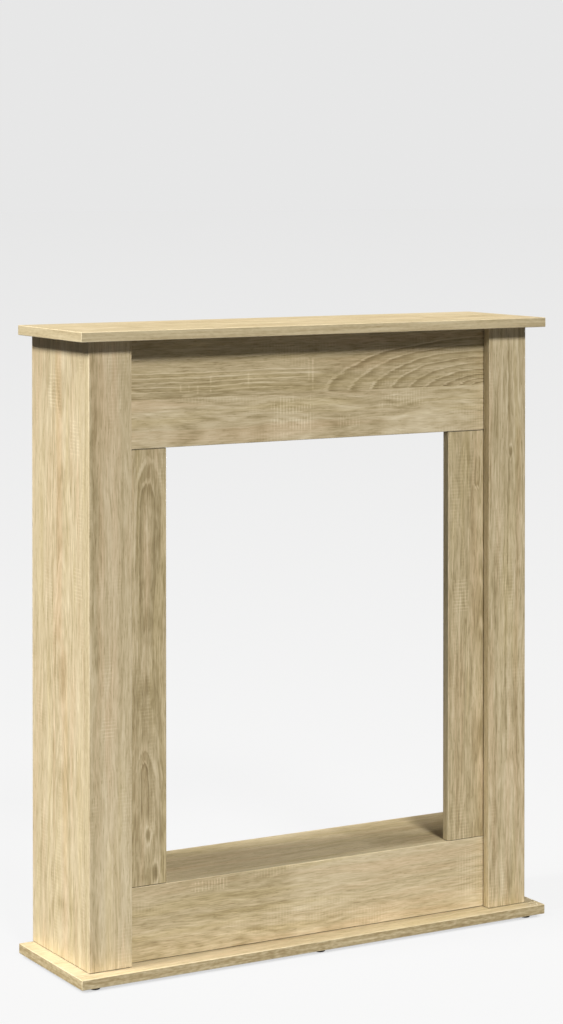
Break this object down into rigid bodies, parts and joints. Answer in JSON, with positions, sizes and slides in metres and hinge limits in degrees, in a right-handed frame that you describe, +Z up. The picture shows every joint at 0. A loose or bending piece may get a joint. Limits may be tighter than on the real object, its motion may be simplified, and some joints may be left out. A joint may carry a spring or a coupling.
{
  "type": "fireplace surround",
  "caption": "Free-standing decorative fireplace surround of wood-effect board: top shelf, header, two towers, hearth shelf and base board on glides, with an open firebox.",
  "frame": {"origin": "on the floor, under the middle of the base board", "axes": "+Z up, -Y towards the front with the firebox, +X to the right seen from the front"},
  "size_m": [0.82, 0.22, 0.96],
  "materials": {
    "oak_foil_board": "satin wood-effect foil with open-pore texture and sawn cross marks, grey-beige oak",
    "cam_zinc": "die-cast zinc, dull",
    "bolt_steel": "zinc-plated steel",
    "dowel_beech": "plain fluted beech, unfinished",
    "glide_plastic": "dark brown moulded plastic"
  },
  "bodies": {
    "root": {"top_shelf": "oak_foil_board", "base_board": "oak_foil_board", "side_panel_left": "oak_foil_board", "side_panel_right": "oak_foil_board", "pilaster_left": "oak_foil_board", "pilaster_right": "oak_foil_board", "stile_left": "oak_foil_board", "stile_right": "oak_foil_board", "header_panel": "oak_foil_board", "bottom_rail": "oak_foil_board", "hearth_shelf": "oak_foil_board", "cam_shelf_left_front": "cam_zinc", "cam_shelf_left_back": "cam_zinc", "cam_shelf_right_front": "cam_zinc", "cam_shelf_right_back": "cam_zinc", "cam_base_left_front": "cam_zinc", "cam_base_left_back": "cam_zinc", "cam_base_right_front": "cam_zinc", "cam_base_right_back": "cam_zinc", "cam_header_left_low": "cam_zinc", "cam_header_left_high": "cam_zinc", "cam_header_right_low": "cam_zinc", "cam_header_right_high": "cam_zinc", "cam_rail_left": "cam_zinc", "cam_rail_right": "cam_zinc", "cam_hearth_left": "cam_zinc", "cam_hearth_right": "cam_zinc", "bolt_shelf_left_front": "bolt_steel", "bolt_shelf_left_back": "bolt_steel", "bolt_shelf_right_front": "bolt_steel", "bolt_shelf_right_back": "bolt_steel", "bolt_base_left_front": "bolt_steel", "bolt_base_left_back": "bolt_steel", "bolt_base_right_front": "bolt_steel", "bolt_base_right_back": "bolt_steel", "bolt_header_left_low": "bolt_steel", "bolt_header_left_high": "bolt_steel", "bolt_header_right_low": "bolt_steel", "bolt_header_right_high": "bolt_steel", "bolt_rail_left": "bolt_steel", "bolt_rail_right": "bolt_steel", "bolt_hearth_left": "bolt_steel", "bolt_hearth_right": "bolt_steel", "dowel_pilaster_left_low": "dowel_beech", "dowel_pilaster_left_middle": "dowel_beech", "dowel_pilaster_left_high": "dowel_beech", "dowel_pilaster_right_low": "dowel_beech", "dowel_pilaster_right_middle": "dowel_beech", "dowel_pilaster_right_high": "dowel_beech", "dowel_stile_left_low": "dowel_beech", "dowel_stile_left_high": "dowel_beech", "dowel_stile_right_low": "dowel_beech", "dowel_stile_right_high": "dowel_beech", "foot_front_left": "glide_plastic", "foot_front_middle": "glide_plastic", "foot_front_right": "glide_plastic", "foot_back_left": "glide_plastic", "foot_back_middle": "glide_plastic", "foot_back_right": "glide_plastic"}
  },
  "joints": []
}
